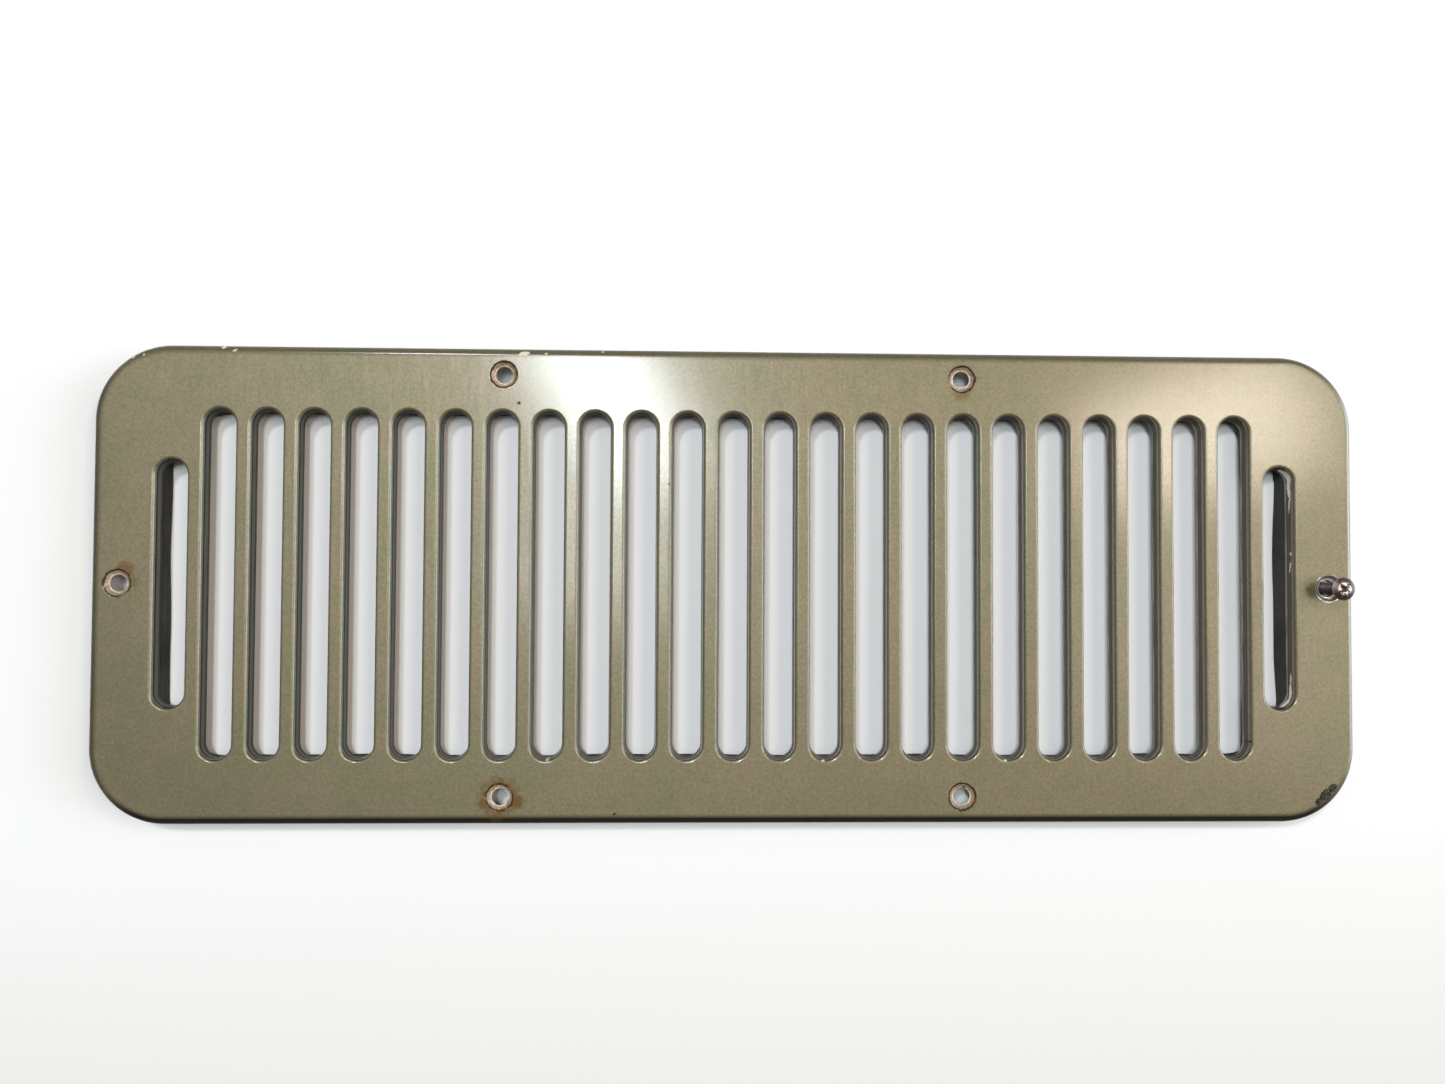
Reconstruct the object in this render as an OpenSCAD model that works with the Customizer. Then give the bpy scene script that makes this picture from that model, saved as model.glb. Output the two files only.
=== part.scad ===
// Pressed steel air intake grille: a painted panel with drawn slots and dimpled screw seats,
// a sponge rubber seal taped round its back, and one captive raised countersunk screw.
// X runs along the panel, Y across it, and Z out of its painted face. The origin is under the
// middle of the panel, on the surface that the seal and the tip of the raised screw stand on.

/* [Panel] */
// Overall length of the panel
panel_l = 508; // [490:1:540]
// Overall width of the panel
panel_w = 190; // [186:1:210]
// Radius of the panel's corners
corner_r = 30; // [24:1:36]
// Thickness of the pressed sheet
sheet_t = 0.9; // [0.7:0.1:1.1]
// Height of the painted face above the surface that the seal stands on
face_z = 12; // [11:0.5:14]
// Outer bend radius of the turned-down edge
edge_r = 3; // [2:0.5:4]
// Depth of the turned-down edge below the face
edge_depth = 7; // [6:0.5:8]

/* [Slots] */
// Number of long slots
slot_count = 23; // [19:2:23]
// Distance from one slot to the next
slot_pitch = 18.6; // [18:0.1:19]
// Width of a slot between its rim walls, at the face
slot_w = 12.6; // [11:0.1:13]
// Length of a long slot between its rim walls
slot_l = 139.2; // [120:0.2:140]
// Length of the short slot at each end of the row
short_slot_l = 98.6; // [80:0.2:110]
// Depth of the drawn rims below the face
rim_depth = 6.5; // [5:0.5:7]
// How far a rim wall leans in over its depth
rim_draft = 0.6; // [0.3:0.1:0.8]
// Outer bend radius between the face and a rim
rim_r = 1.3; // [1.2:0.1:1.5]

/* [Screw seats] */
// Distance from the middle to the seats on the long sides, along the panel
seat_x = 92.5; // [80:0.5:110]
// Distance from the middle to the seats on the long sides, across the panel
seat_y = 84.3; // [84:0.1:85]
// Distance from the middle to the seat at each end
seat_end_x = 243.5; // [243:0.5:246]
// Diameter of the dimple at the face
seat_d = 10.8; // [10.4:0.2:11.4]
// Diameter of the screw hole in the middle of the dimple
hole_d = 6.5; // [6:0.1:6.8]
// Depth of the back of the dimple below the face
seat_depth = 3; // [2.8:0.1:3.2]

/* [Seal] */
// Length of the seal's inner edge
seal_in_l = 456.4; // [455:0.2:458]
// Width of the seal's inner edge
seal_in_w = 139.6; // [139.2:0.2:141]
// Radius of the seal's inner corners
seal_in_r = 24; // [20:1:30]
// Width of the rubber strip
seal_w = 8; // [7:0.1:8]
// Width of the adhesive tape
tape_w = 4.6; // [4:0.1:5]
// Thickness of the adhesive tape
tape_t = 0.5; // [0.3:0.1:0.8]

/* [Fixing screw] */
// Thread diameter
screw_d = 5; // [4:0.5:5]
// Length from the head's edge to the tip
screw_l = 22; // [20:1:25]
// Diameter of the head
head_d = 9.3; // [9:0.1:9.8]
// Height of the head's raised top
head_raise = 1.3; // [1:0.1:1.6]
// Outer diameter of the retaining washer
retainer_d = 10; // [9:0.5:10.5]
// Thickness of the retaining washer
retainer_t = 1.2; // [0.8:0.1:1.5]

/* [Hidden] */
$fn = 96;
eps = 0.01;

// Panel frame: heights below are measured from the painted face
mid_x = panel_l/2 - corner_r;
mid_y = panel_w/2 - corner_r;
back_z = face_z - sheet_t;

// Slots: positions of the long ones, then the short one beyond each end
long_x = [for (i = [0 : slot_count - 1]) (i - (slot_count - 1)/2)*slot_pitch];
short_x = (slot_count + 1)/2*slot_pitch;
slots = concat([for (x = long_x) [x, slot_l]], [for (s = [-1, 1]) [s*short_x, short_slot_l]]);
slot_half = slot_w/2;
rim_foot = slot_half + rim_r;
draft_a = atan(rim_draft/(rim_depth - rim_r));
wall_l = (rim_depth - rim_r + rim_r*sin(draft_a))/cos(draft_a);
wall_lap = 0.1;

// Seats: two on each long side and one at each end
seats = concat([for (sx = [-1, 1], sy = [-1, 1]) [sx*seat_x, sy*seat_y]],
               [for (s = [-1, 1]) [s*seat_end_x, 0]]);
hole_r = hole_d/2;
seat_r = seat_d/2;
seat_back_r = seat_r + sheet_t*(sqrt(2) - 1);
seat_foot_r = seat_back_r - (seat_depth - sheet_t);

// Seal: it stands on the floor and is notched where the slot rims press into it
seal_top = back_z - tape_t;
notch_gap = 0.25;
notch_z = face_z - rim_depth - notch_gap;
tape_inset = 3;

// Screw and its retaining washer
head_cone = (head_d - screw_d)/2;
head_rim = 0.2;
dome_r = (pow(head_d/2, 2) + pow(head_raise, 2))/(2*head_raise);
tip_chamfer = 0.5;
recess_w = 1.15;
recess_l = 4.8;
recess_depth = 2.4;
recess_core_r = 1.15;
retainer_gap = 0.3;
retainer_fit = 0.05;
retainer_top = face_z - seat_depth - retainer_gap;

// Rectangle of size [l, w] with corners of radius r, in the middle
module rounded_rect(l, w, r) {
    square([l - 2*r, w], center = true);
    square([l, w - 2*r], center = true);
    for (sx = [-1, 1], sy = [-1, 1])
        translate([sx*(l/2 - r), sy*(w/2 - r)]) circle(r = r);
}

// Slot shape of overall length l and width w, along Y
module stadium(l, w) {
    square([w, l - w], center = true);
    for (s = [-1, 1]) translate([0, s*(l - w)/2]) circle(d = w);
}

// Flat area of the panel, with the slots' rims and the dimples cut out
module plate() {
    translate([0, 0, back_z]) linear_extrude(sheet_t) difference() {
        rounded_rect(panel_l - 2*edge_r, panel_w - 2*edge_r, corner_r - edge_r);
        for (s = slots) translate([s[0], 0]) stadium(s[1] + 2*rim_r, slot_w + 2*rim_r);
        for (p = seats) translate(p) circle(r = seat_back_r);
    }
}

// Section of the turned-down edge: x is outwards from the bend's centre
module edge_section() {
    difference() {
        intersection() {
            circle(r = edge_r);
            square(edge_r);
        }
        circle(r = edge_r - sheet_t);
    }
    translate([edge_r - sheet_t, edge_r - edge_depth]) square([sheet_t, edge_depth - edge_r]);
}

// The edge round the outside of the panel: four straight runs and four corners
module turned_edge() {
    translate([0, 0, face_z - edge_r]) {
        for (a = [0, 180]) rotate(a) {
            translate([panel_l/2 - edge_r, mid_y, 0]) rotate([90, 0, 0])
                linear_extrude(2*mid_y) edge_section();
            translate([mid_x, panel_w/2 - edge_r, 0]) rotate([90, 0, 90]) mirror([0, 0, 1])
                linear_extrude(2*mid_x) edge_section();
        }
        for (sx = [0, 1], sy = [0, 1]) mirror([sx, 0, 0]) mirror([0, sy, 0])
            translate([mid_x, mid_y, 0]) rotate_extrude(angle = 90)
                translate([corner_r - edge_r, 0]) edge_section();
    }
}

// Section of a slot rim: x is away from the slot's middle, from the bend's centre
module rim_section() {
    down = [-sin(draft_a), -cos(draft_a)];
    out = [-cos(draft_a), sin(draft_a)];
    back_r = rim_r - sheet_t;
    difference() {
        intersection() {
            circle(r = rim_r);
            polygon([[0, 0], [0, 2*rim_r], [-2*rim_r, 2*rim_r], 2*rim_r*out]);
        }
        circle(r = back_r);
    }
    // The wall starts a little way up inside the bend, so that the two are one piece
    polygon([rim_r*out, rim_r*out + wall_l*down, back_r*out + wall_l*down,
             back_r*out - wall_lap*down, (back_r + sheet_t/2)*out - wall_lap*down]);
}

// Drawn rim round a slot of length l: two straight walls and two half-round ends
module slot_rim(l) {
    run = l - slot_w;
    translate([0, 0, face_z - rim_r]) for (a = [0, 180]) rotate(a) {
        translate([rim_foot, run/2, 0]) rotate([90, 0, 0]) linear_extrude(run) rim_section();
        translate([0, run/2, 0]) rotate_extrude(angle = 180)
            translate([rim_foot, 0]) rim_section();
    }
}

// Dimple with a countersunk face and a round hole
module screw_seat() {
    translate([0, 0, face_z]) rotate_extrude()
        polygon([[hole_r, hole_r - seat_r], [seat_r, 0], [seat_back_r, 0],
                 [seat_back_r, -sheet_t], [seat_foot_r, -seat_depth], [hole_r, -seat_depth]]);
}

// The pressed panel, one sheet
module grille_panel() {
    color([0.56, 0.53, 0.42]) union() {
        plate();
        turned_edge();
        for (s = slots) translate([s[0], 0, 0]) slot_rim(s[1]);
        for (p = seats) translate([p[0], p[1], 0]) screw_seat();
    }
}

// Ring of width w outside the seal's inner edge moved out by inset
module seal_ring(inset, w) {
    l = seal_in_l + 2*inset;
    b = seal_in_w + 2*inset;
    r = seal_in_r + inset;
    difference() {
        rounded_rect(l + 2*w, b + 2*w, r + w);
        rounded_rect(l, b, r);
    }
}

// Sponge rubber strip, pressed in where the slot rims stand against it
module perimeter_seal() {
    color([0.2, 0.2, 0.2]) difference() {
        linear_extrude(seal_top) seal_ring(0, seal_w);
        for (s = slots) translate([s[0], 0, notch_z]) linear_extrude(face_z)
            stadium(s[1] + 2*(rim_r + notch_gap), slot_w + 2*(rim_r + notch_gap));
    }
}

// Adhesive tape between the strip and the back of the panel
module seal_tape() {
    color([0.9, 0.88, 0.8]) translate([0, 0, seal_top])
        linear_extrude(tape_t) seal_ring(tape_inset, tape_w);
}

// Push-on washer that keeps the screw with the panel
module screw_retainer() {
    color([0.85, 0.84, 0.8]) translate([seat_end_x, 0, retainer_top - retainer_t])
        difference() {
            cylinder(d = retainer_d, h = retainer_t);
            translate([0, 0, -eps])
                cylinder(r = screw_d/2 + retainer_fit, h = retainer_t + 2*eps);
        }
}

// Cross recess, from the top of the head down
module cross_recess() {
    translate([0, 0, screw_l + head_raise - recess_depth]) {
        cylinder(r = recess_core_r, h = recess_depth + eps);
        for (a = [45, 135]) rotate(a)
            translate([-recess_l/2, -recess_w/2, recess_depth/3])
                cube([recess_l, recess_w, recess_depth]);
    }
}

// Raised countersunk screw, standing on its tip with its head above the panel
module fixing_screw() {
    color([0.3, 0.25, 0.27]) translate([seat_end_x, 0, 0]) difference() {
        union() {
            cylinder(d1 = screw_d - 2*tip_chamfer, d2 = screw_d, h = tip_chamfer);
            translate([0, 0, tip_chamfer])
                cylinder(d = screw_d, h = screw_l - head_rim - head_cone - tip_chamfer);
            translate([0, 0, screw_l - head_rim - head_cone])
                cylinder(d1 = screw_d, d2 = head_d, h = head_cone);
            translate([0, 0, screw_l - head_rim]) cylinder(d = head_d, h = head_rim);
            intersection() {
                translate([0, 0, screw_l + head_raise - dome_r]) sphere(r = dome_r);
                translate([0, 0, screw_l]) cylinder(d = head_d, h = head_raise);
            }
        }
        cross_recess();
    }
}

grille_panel();
perimeter_seal();
seal_tape();
screw_retainer();
fixing_screw();
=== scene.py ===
import math

import bpy
import numpy as np
from mathutils import Matrix, Vector
from mathutils.geometry import delaunay_2d_cdt


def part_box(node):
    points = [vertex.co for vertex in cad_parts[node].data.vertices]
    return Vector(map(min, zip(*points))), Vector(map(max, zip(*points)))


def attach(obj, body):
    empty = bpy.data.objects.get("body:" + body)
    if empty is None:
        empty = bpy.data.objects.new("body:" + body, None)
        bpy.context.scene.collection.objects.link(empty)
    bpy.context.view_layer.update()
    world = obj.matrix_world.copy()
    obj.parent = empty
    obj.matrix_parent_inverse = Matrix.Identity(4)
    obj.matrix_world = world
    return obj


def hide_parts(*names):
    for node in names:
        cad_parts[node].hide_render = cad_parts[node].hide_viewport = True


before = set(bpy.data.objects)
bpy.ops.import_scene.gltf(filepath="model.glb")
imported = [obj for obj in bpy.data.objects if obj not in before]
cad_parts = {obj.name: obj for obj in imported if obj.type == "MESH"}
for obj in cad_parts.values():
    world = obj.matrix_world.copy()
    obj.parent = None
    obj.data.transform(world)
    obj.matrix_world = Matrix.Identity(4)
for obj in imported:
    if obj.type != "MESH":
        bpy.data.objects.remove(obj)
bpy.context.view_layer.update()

MM = 0.001
scene = bpy.context.scene
scene.view_settings.view_transform = "Standard"

# ---------------------------------------------------------------- sizes, in mm, as in the CAD
PANEL_L, PANEL_W, CORNER_R = 508, 190, 30
SHEET_T, FACE_Z = 0.9, 12
EDGE_R, EDGE_DEPTH = 3, 7
SLOT_COUNT, SLOT_PITCH, SLOT_W, SLOT_L, SHORT_SLOT_L = 23, 18.6, 12.6, 139.2, 98.6
RIM_DEPTH, RIM_DRAFT, RIM_R = 6.5, 0.6, 1.3
SEAT_X, SEAT_Y, SEAT_END_X, SEAT_D, HOLE_D = 92.5, 84.3, 243.5, 10.8, 6.5
SEAL_L, SEAL_W, SEAL_R, SEAL_STRIP = 456.4, 139.6, 24, 8
TAPE_INSET, TAPE_W, TAPE_T = 3, 4.6, 0.5
SCREW_D, SCREW_L, HEAD_D, HEAD_RAISE = 5, 22, 9.3, 1.3

# ---------------------------------------------------------------- finer shapes, in mm and degrees
EDGE_CUT_R, RIM_CUT_R, SEAT_CUT_R = 0.22, 0.28, 0.25  # rounding of the sheet's cut edges
SEAT_FOLD_R, SEAT_CONE_L, SEAT_HOLLOW_R = 1.15, 1.35, 0.35  # fold into a seat, its cone, fold to its land
SEAT_CONE_TURN, SEAT_LAND_DIP = 45, 18  # slopes of the cone and of the land round the hole
FOOT_ROUND, TOP_ROUND, TAPE_ROUND = 0.7, 0.3, 0.12  # corner radii of the rubber strip and the tape
FOOT_SPREAD_H, RIM_CLEAR = 5.2, 0.2  # how high the strip's foot is spread, and its gap to the rims
THREAD_PITCH, THREAD_DEPTH, THREAD_STEP = 0.8, 0.46, 0.1
TIP_R, TIP_SLOPE = 1.85, 1.3  # the screw's tip is a cone: radius at its end, and growth per mm of height
RECESS_REACH, RECESS_HALF_W, RECESS_CORE_R, RECESS_DEPTH = 2.4, 0.52, 1.15, 2.3  # of the cross recess
WASHER_ROUND, WASHER_PLAY, FINGER_GAP, FINGERS = 0.25, 0.05, 0.85, 6

# ---------------------------------------------------------------- camera
cam_data = bpy.data.cameras.new("camera")
cam_data.lens, cam_data.sensor_width = 27.03, 36
cam = bpy.data.objects.new("camera", cam_data)
scene.collection.objects.link(cam)
cam.location = (-0.018283, 0.005501, 0.447541)
cam.rotation_euler = (
    Matrix.Rotation(math.radians(0.283), 3, "Z")
    @ Matrix.Rotation(math.radians(-1.825), 3, "Y")
    @ Matrix.Rotation(math.radians(1.581), 3, "X")
).to_euler()
scene.camera = cam


# ---------------------------------------------------------------- mesh building
def outline(hx, hy, arc, step=1e9):
    """Rounded outline, anticlockwise, as rows (base x, base y, direction x, direction y).

    The corners' centres are (+-hx, +-hy), with arc pieces in each corner and a point about every
    step along a straight side.
    """
    corners = [(hx, hy), (-hx, hy), (-hx, -hy), (hx, -hy)]
    rows = []
    for i, (cx, cy) in enumerate(corners):
        for k in range(arc + 1):
            a = math.radians(90 * (i + k / arc))
            rows.append((cx, cy, math.cos(a), math.sin(a)))
        nx, ny = corners[(i + 1) % 4]
        pieces = max(1, round(math.dist((cx, cy), (nx, ny)) / step))
        for k in range(1, pieces):
            f = k / pieces
            rows.append((cx + (nx - cx) * f, cy + (ny - cy) * f, math.cos(a), math.sin(a)))
    kept = [r for i, r in enumerate(rows) if math.dist(r, rows[i - 1]) > 1e-6]
    return np.array(kept)


def corner_arc(cx, cz, radius, start, steps):
    """Quarter turn about (cx, cz) from start in degrees, as rows (x, z, normal x, normal z)."""
    rows = []
    for k in range(steps + 1):
        a = math.radians(start + 90 * k / steps)
        rows.append((cx + radius * math.cos(a), cz + radius * math.sin(a), math.cos(a), math.sin(a)))
    return rows


# A path is a list of rows (x, z, normal x, normal z). It starts on the flat face, its normal upwards.
START = (0, 0, 0, 1)


def bend(path, angle, radius, steps, hollow=False):
    """Adds an arc to a path, until its normal points to angle in degrees."""
    x, z, nx, nz = path[-1]
    start = math.degrees(math.atan2(nz, nx))
    s = -1 if hollow else 1
    cx, cz = x - s * radius * nx, z - s * radius * nz
    for k in range(1, steps + 1):
        a = math.radians(start + (angle - start) * k / steps)
        n = (math.cos(a), math.sin(a))
        path.append((cx + s * radius * n[0], cz + s * radius * n[1], *n))
    return path


def straight(path, length, steps):
    """Adds a straight run to a path, at right angles to its normal."""
    x, z, nx, nz = path[-1]
    for k in range(1, steps + 1):
        path.append((x - nz * length * k / steps, z + nx * length * k / steps, nx, nz))
    return path


def sheet(path, cut_r, steps):
    """Section of a sheet whose painted side is the path: that side, the rounded cut edge, the back."""
    x, z, nx, nz = path[-1]
    tx, tz = -nz, nx
    edge = []
    for depth, first in ((cut_r, 0), (SHEET_T - cut_r, 90)):
        cx, cz = x - nx * depth - tx * cut_r, z - nz * depth - tz * cut_r
        for k in range(steps + 1):
            a = math.radians(first + 90 * k / steps)
            n = (nx * math.cos(a) + tx * math.sin(a), nz * math.cos(a) + tz * math.sin(a))
            edge.append((cx + cut_r * n[0], cz + cut_r * n[1], *n))
    back = [(px - mx * SHEET_T, pz - mz * SHEET_T, -mx, -mz) for px, pz, mx, mz in reversed(path[:-1])]
    return path[:-1] + edge + back


class Skin:
    """A mesh in the making: points, their normals and faces."""

    def __init__(self):
        self.co, self.no, self.faces, self.count = [], [], [], 0

    def ring(self, co, no):
        """Adds one closed row of points with their normals, and returns the points' numbers."""
        first = self.count
        self.co.append(np.asarray(co, float))
        self.no.append(np.asarray(no, float))
        self.count += len(co)
        return np.arange(first, self.count)

    def join_rings(self, rings):
        """Quads between each ring and the next one."""
        cur = np.array(rings)
        nxt = np.roll(cur, -1, axis=1)
        quads = np.stack([cur[:-1], nxt[:-1], nxt[1:], cur[1:]], axis=-1)
        self.faces += quads.reshape(-1, 4).tolist()

    def sweep(self, loop, section, r0, z0, sign=1, centre=(0, 0), close=False):
        """Runs a section round an outline, and returns its first and last ring.

        A section's x is measured outwards from r0 when sign is 1, and inwards when it is -1.
        """
        rings = []
        for x, z, nx, nz in section:
            r = r0 + sign * x
            co = np.column_stack([centre[0] + loop[:, 0] + loop[:, 2] * r,
                                  centre[1] + loop[:, 1] + loop[:, 3] * r,
                                  np.full(len(loop), z0 + z)])
            no = np.column_stack([loop[:, 2] * nx * sign, loop[:, 3] * nx * sign,
                                  np.full(len(loop), nz)])
            rings.append(self.ring(co, no))
        if close:
            rings.append(rings[0])
        self.join_rings(rings)
        return rings[0], rings[-1]

    def build(self, name, mat, custom=True):
        """Makes the object. The normals say which way each face looks, and shade it if custom."""
        co, no = np.vstack(self.co), np.vstack(self.no)
        faces = []
        for f in self.faces:
            a, b, c = co[f[0]], co[f[1]], co[f[2]]
            d = co[f[-1]]
            normal = np.cross(c - a, d - b) if len(f) == 4 else np.cross(b - a, c - a)
            faces.append(f if normal @ no[f].sum(axis=0) > 0 else f[::-1])
        me = bpy.data.meshes.new(name)
        me.from_pydata((co * MM).tolist(), [], faces)
        me.polygons.foreach_set("use_smooth", [True] * len(faces))
        if custom:
            no = no / np.linalg.norm(no, axis=1, keepdims=True)
            me.normals_split_custom_set_from_vertices(no.tolist())
        me.update()
        ob = bpy.data.objects.new(name, me)
        scene.collection.objects.link(ob)
        me.materials.append(mat)
        return ob


def finish_piece(ob, node, body):
    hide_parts(node)
    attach(ob, body)


# ---------------------------------------------------------------- node helpers
class Tree:
    """Short names for the shader nodes that a material uses. Positions and lengths are in mm."""

    def __init__(self, name, **sockets):
        self.mat = bpy.data.materials.new(name)
        self.mat.use_nodes = True
        self.nodes, self.links = self.mat.node_tree.nodes, self.mat.node_tree.links
        self.bsdf = self.nodes["Principled BSDF"]
        for key, value in sockets.items():
            self.bsdf.inputs[key.replace("_", " ")].default_value = value
        coord = self.nodes.new("ShaderNodeTexCoord")
        self.normal = coord.outputs["Normal"]
        self.mm = self.vec("SCALE", coord.outputs["Object"], scale=1000)
        self.x, self.y, self.z = self.split(self.mm)

    def put(self, socket, value):
        if isinstance(value, bpy.types.NodeSocket):
            self.links.new(value, socket)
        elif isinstance(value, (tuple, list)) and len(value) == 3 and socket.type == "RGBA":
            socket.default_value = (*value, 1)
        else:
            socket.default_value = value

    def out(self, socket, value):
        self.put(self.bsdf.inputs[socket], value)

    def vec(self, op, a, b=None, scale=None):
        n = self.nodes.new("ShaderNodeVectorMath")
        n.operation = op
        self.put(n.inputs[0], a)
        if b is not None:
            self.put(n.inputs[1], b)
        if scale is not None:
            self.put(n.inputs["Scale"], scale)
        return n.outputs["Value"] if op in ("LENGTH", "DISTANCE", "DOT_PRODUCT") else n.outputs[0]

    def split(self, v):
        n = self.nodes.new("ShaderNodeSeparateXYZ")
        self.put(n.inputs[0], v)
        return n.outputs

    def join(self, x, y, z):
        n = self.nodes.new("ShaderNodeCombineXYZ")
        for s, v in zip(n.inputs, (x, y, z)):
            self.put(s, v)
        return n.outputs[0]

    def math(self, op, a, b=None):
        n = self.nodes.new("ShaderNodeMath")
        n.operation = op
        self.put(n.inputs[0], a)
        if b is not None:
            self.put(n.inputs[1], b)
        return n.outputs[0]

    def add(self, a, b):
        return self.math("ADD", a, b)

    def less(self, a, b):
        return self.math("SUBTRACT", a, b)

    def mul(self, a, b):
        return self.math("MULTIPLY", a, b)

    def most(self, a, b):
        return self.math("MAXIMUM", a, b)

    def noise(self, scale, detail, rough, at=None, colour=False):
        n = self.nodes.new("ShaderNodeTexNoise")
        self.put(n.inputs["Vector"], self.mm if at is None else at)
        for key, v in (("Scale", scale), ("Detail", detail), ("Roughness", rough)):
            self.put(n.inputs[key], v)
        return n.outputs["Color" if colour else "Fac"]

    def stretched(self, factors, scale, detail, rough):
        """Noise drawn out along the axes whose factors are small."""
        return self.noise(scale, detail, rough, self.vec("MULTIPLY", self.mm, factors))

    def cells(self, scale):
        n = self.nodes.new("ShaderNodeTexVoronoi")
        self.put(n.inputs["Vector"], self.mm)
        self.put(n.inputs["Scale"], scale)
        return n.outputs["Distance"]

    def span(self, v, lo, hi, out_lo=0, out_hi=1):
        """Maps lo..hi to out_lo..out_hi, held at the ends."""
        n = self.nodes.new("ShaderNodeMapRange")
        for s, value in zip(n.inputs, (v, lo, hi, out_lo, out_hi)):
            self.put(s, value)
        return n.outputs[0]

    def ramp(self, fac, stops):
        """Colour ramp with two stops, each a position and a colour."""
        n = self.nodes.new("ShaderNodeValToRGB")
        for e, (pos, colour) in zip(n.color_ramp.elements, stops):
            e.position, e.color = pos, (*colour, 1)
        self.put(n.inputs[0], fac)
        return n.outputs[0]

    def mix(self, fac, a, b, kind="MIX"):
        """Mixes two colours."""
        n = self.nodes.new("ShaderNodeMix")
        n.data_type, n.blend_type = "RGBA", kind
        n.clamp_factor = True
        self.put(n.inputs["Factor"], fac)
        self.put(n.inputs[6], a)
        self.put(n.inputs[7], b)
        return n.outputs[2]

    def blend(self, fac, a, b):
        """Mixes two numbers."""
        n = self.nodes.new("ShaderNodeMix")
        n.data_type = "FLOAT"
        n.clamp_factor = True
        self.put(n.inputs["Factor"], fac)
        self.put(n.inputs[2], a)
        self.put(n.inputs[3], b)
        return n.outputs[0]

    def bump(self, height, depth_mm, base=None):
        n = self.nodes.new("ShaderNodeBump")
        n.inputs["Strength"].default_value = 1
        n.inputs["Distance"].default_value = depth_mm * MM
        self.put(n.inputs["Height"], height)
        if base is not None:
            self.put(n.inputs["Normal"], base)
        return n.outputs[0]


# ---------------------------------------------------------------- paint on the panel
OLIVE, OLIVE_WARM = (0.197, 0.181, 0.106), (0.226, 0.189, 0.118)
GRAIN_DARK, GRAIN_PALE = (0.76, 0.76, 0.75), (1.24, 1.23, 1.22)
PRIMER, PRIMER_OLIVE = (0.30, 0.28, 0.24), (0.26, 0.24, 0.175)
CREAM = (0.72, 0.64, 0.48)
DARK = (0.025, 0.022, 0.02)
SCAB = (0.92, 0.88, 0.78)
# The black under the bend of the slot rims is grime with painted shade
GRIME_SHADE_BLACK, WALL_GREY, FOOT_GREY = (0.006, 0.006, 0.005), (0.090, 0.087, 0.075), (0.026, 0.025, 0.023)
# The grey of the slots' upper ends and the dark of the outer edge are painted shade; the pale of the lower
# lip is a painted highlight
END_SHADE_GREY, LIP_HIGHLIGHT, EDGE_SHADE = (0.012, 0.012, 0.012), (0.42, 0.40, 0.36), (0.012, 0.009, 0.007)
RUST_TAN, RUST_WARM, RUST_DARK = (0.36, 0.31, 0.23), (0.50, 0.36, 0.23), (0.15, 0.08, 0.045)
# Seat colours: the dark ring is a crack with painted shade, the pale land is a painted highlight, and the
# stain colour also paints a shadow beside the screw
CRACK_AND_SHADE, LAND_HIGHLIGHT, STAIN_AND_SHADOW = (0.05, 0.028, 0.018), (0.72, 0.67, 0.58), (0.14, 0.066, 0.010)
SCORE, BARE_STEEL = (0.10, 0.08, 0.07), (0.95, 0.92, 0.86)
# Chips: x, y, half length, half width, turn in degrees
CREAM_CHIPS = [(-203.7, 94.1, 1.0, 0.55, 0), (-199.0, 92.9, 0.9, 0.5, 20), (-84.4, 92.8, 2.1, 0.9, 12),
               (-75.6, 92.9, 0.5, 0.4, 0), (-53.0, 94.0, 0.6, 0.4, 0), (-238.9, 89.6, 0.7, 0.35, 30),
               (-234.6, 90.7, 0.6, 0.3, 80), (-73.9, -69.6, 0.8, 0.4, 20), (36.3, -69.9, 0.7, 0.35, 0),
               (110.2, -69.9, 0.6, 0.4, -20)]
DARK_CHIPS = [(-47.1, -90.9, 0.7, 0.4, 10), (-86.3, 72.9, 0.75, 0.6, 0), (-26.1, 40.8, 0.5, 0.35, 0),
              (-68.7, 15.2, 0.45, 0.35, 0), (-6.0, 46.6, 0.4, 0.3, 0), (93.2, -81.0, 1.1, 0.5, 30),
              (238.6, -86.2, 2.2, 1.2, 42), (241.2, -83.8, 3.0, 1.9, 45), (244.0, -81.1, 2.2, 1.4, 45),
              (211.0, -62.5, 0.4, 0.3, 0), (234.8, -0.2, 0.5, 0.3, 60)]
# Cream scabs of old adhesive on the rim of the right-hand short slot: y, z, half length, half height, turn
RIM_SCABS = [(46.5, 8.6, 3.2, 1.5, -10), (41.5, 8.3, 4.0, 1.0, -4), (35.5, 8.7, 4.4, 0.5, 5),
             (14.1, 9.2, 0.7, 0.5, 0), (8.6, 8.8, 2.2, 0.35, 8), (-37.5, 8.6, 2.6, 0.45, 0),
             (-42.5, 8.4, 3.4, 0.8, 0), (-47.5, 8.2, 2.4, 1.0, 0)]
SCAB_X = 225  # the scabs are on that slot's wall beyond this x
# Stains round the seats: x, y, radius, strength. The blot just left of the right-hand seat is a painted
# shadow of the screw's head.
SEAT_STAINS_AND_SHADOW = [(-92.5, -84.3, 7.6, 1.0), (-85.9, -86.0, 3.2, 0.9), (-98.7, -86.8, 2.6, 0.8),
          (-240.2, 4.9, 3.6, 0.75), (-237.6, 0.8, 2.6, 0.5), (92.5, 79.0, 3.4, 0.6),
          (92.5, 84.3, 6.4, 0.35), (237.4, -0.8, 2.8, 0.5)]


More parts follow.
